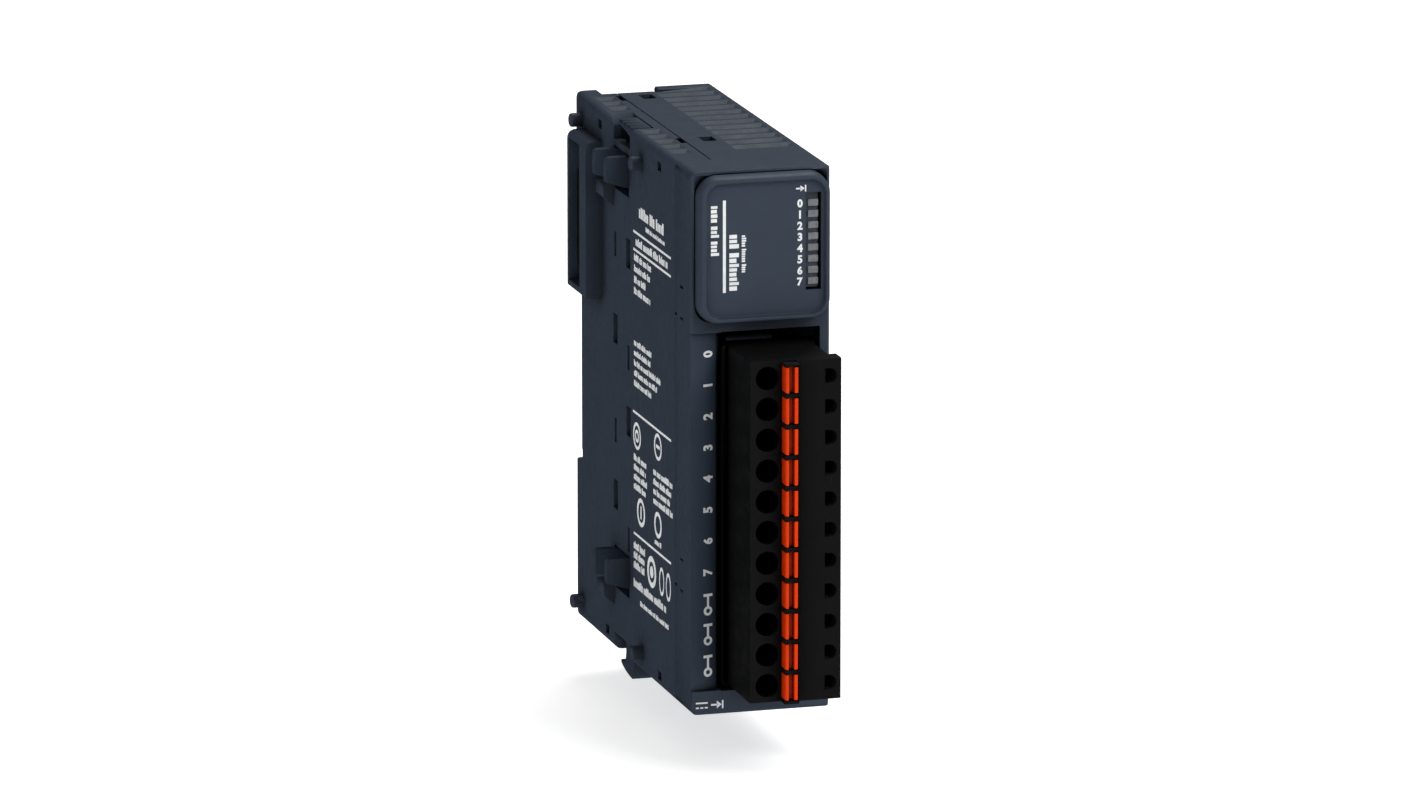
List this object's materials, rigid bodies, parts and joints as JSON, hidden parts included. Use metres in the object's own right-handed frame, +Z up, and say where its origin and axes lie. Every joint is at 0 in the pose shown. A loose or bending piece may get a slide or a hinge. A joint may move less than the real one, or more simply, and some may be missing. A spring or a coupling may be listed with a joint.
{
  "type": "plc input module",
  "caption": "Slim digital-input module for a mounting rail: two-part plastic housing, pull-off spring terminal plug with push levers, side lock and rail clip.",
  "frame": {"origin": "centre of the flat seat in the rail recess, where the mounting rail's front face bears", "axes": "+Y out of the back, into the rail; +Z up; +X to the right as seen from the front; the terminal plug points along -Y"},
  "size_m": [0.027, 0.0846, 0.0945],
  "materials": {
    "housing": "fine matt texture, dark blue-grey",
    "lock": "smooth matt, dark blue-grey",
    "black_plastic": "satin black",
    "lever": "satin orange",
    "light_guide": "translucent grey, satin",
    "board": "solder resist, green",
    "chip": "matt black resin",
    "metal": "tinned",
    "led": "pale resin"
  },
  "bodies": {
    "module": {"main_housing": "housing", "left_cover": "housing", "front_panel": "housing", "light_guide": "light_guide", "main_board": "board", "bus_controller": "chip", "filter_capacitor": "metal", "terminal_header": "black_plastic", "header_pins": "metal", "bus_plug": "black_plastic", "bus_socket": "black_plastic", "status_led_0": "led", "status_led_1": "led", "status_led_2": "led", "status_led_3": "led", "status_led_4": "led", "status_led_5": "led", "status_led_6": "led", "status_led_7": "led", "optocoupler_0": "chip", "optocoupler_1": "chip", "optocoupler_2": "chip", "optocoupler_3": "chip", "optocoupler_4": "chip", "optocoupler_5": "chip", "optocoupler_6": "chip", "optocoupler_7": "chip"},
    "lock": {"lock_slider": "lock"},
    "clip": {"rail_clip": "lock"},
    "plug": {"terminal_plug": "black_plastic", "spring_clamp_0": "metal", "spring_clamp_1": "metal", "spring_clamp_2": "metal", "spring_clamp_3": "metal", "spring_clamp_4": "metal", "spring_clamp_5": "metal", "spring_clamp_6": "metal", "spring_clamp_7": "metal", "spring_clamp_8": "metal", "spring_clamp_9": "metal", "spring_clamp_10": "metal"},
    "lever_0": {"push_lever_0": "lever"},
    "lever_1": {"push_lever_1": "lever"},
    "lever_2": {"push_lever_2": "lever"},
    "lever_3": {"push_lever_3": "lever"},
    "lever_4": {"push_lever_4": "lever"},
    "lever_5": {"push_lever_5": "lever"},
    "lever_6": {"push_lever_6": "lever"},
    "lever_7": {"push_lever_7": "lever"},
    "lever_8": {"push_lever_8": "lever"},
    "lever_9": {"push_lever_9": "lever"},
    "lever_10": {"push_lever_10": "lever"}
  },
  "joints": [
    {"name": "lock_slide", "type": "slide", "parent": "module", "child": "lock", "axis": [0, 0, 1], "range_m": [-0.0012, 0]},
    {"name": "clip_slide", "type": "slide", "parent": "module", "child": "clip", "axis": [0, 0, -1], "range_m": [0, 0.004], "stiffness_N_per_m": 500},
    {"name": "plug_pull", "type": "slide", "parent": "module", "child": "plug", "axis": [0, -1, 0], "range_m": [0, 0.012]},
    {"name": "lever_0_push", "type": "slide", "parent": "plug", "child": "lever_0", "axis": [0, 1, 0], "range_m": [0, 0.0015], "stiffness_N_per_m": 600},
    {"name": "lever_1_push", "type": "slide", "parent": "plug", "child": "lever_1", "axis": [0, 1, 0], "range_m": [0, 0.0015], "stiffness_N_per_m": 600},
    {"name": "lever_2_push", "type": "slide", "parent": "plug", "child": "lever_2", "axis": [0, 1, 0], "range_m": [0, 0.0015], "stiffness_N_per_m": 600},
    {"name": "lever_3_push", "type": "slide", "parent": "plug", "child": "lever_3", "axis": [0, 1, 0], "range_m": [0, 0.0015], "stiffness_N_per_m": 600},
    {"name": "lever_4_push", "type": "slide", "parent": "plug", "child": "lever_4", "axis": [0, 1, 0], "range_m": [0, 0.0015], "stiffness_N_per_m": 600},
    {"name": "lever_5_push", "type": "slide", "parent": "plug", "child": "lever_5", "axis": [0, 1, 0], "range_m": [0, 0.0015], "stiffness_N_per_m": 600},
    {"name": "lever_6_push", "type": "slide", "parent": "plug", "child": "lever_6", "axis": [0, 1, 0], "range_m": [0, 0.0015], "stiffness_N_per_m": 600},
    {"name": "lever_7_push", "type": "slide", "parent": "plug", "child": "lever_7", "axis": [0, 1, 0], "range_m": [0, 0.0015], "stiffness_N_per_m": 600},
    {"name": "lever_8_push", "type": "slide", "parent": "plug", "child": "lever_8", "axis": [0, 1, 0], "range_m": [0, 0.0015], "stiffness_N_per_m": 600},
    {"name": "lever_9_push", "type": "slide", "parent": "plug", "child": "lever_9", "axis": [0, 1, 0], "range_m": [0, 0.0015], "stiffness_N_per_m": 600},
    {"name": "lever_10_push", "type": "slide", "parent": "plug", "child": "lever_10", "axis": [0, 1, 0], "range_m": [0, 0.0015], "stiffness_N_per_m": 600}
  ]
}
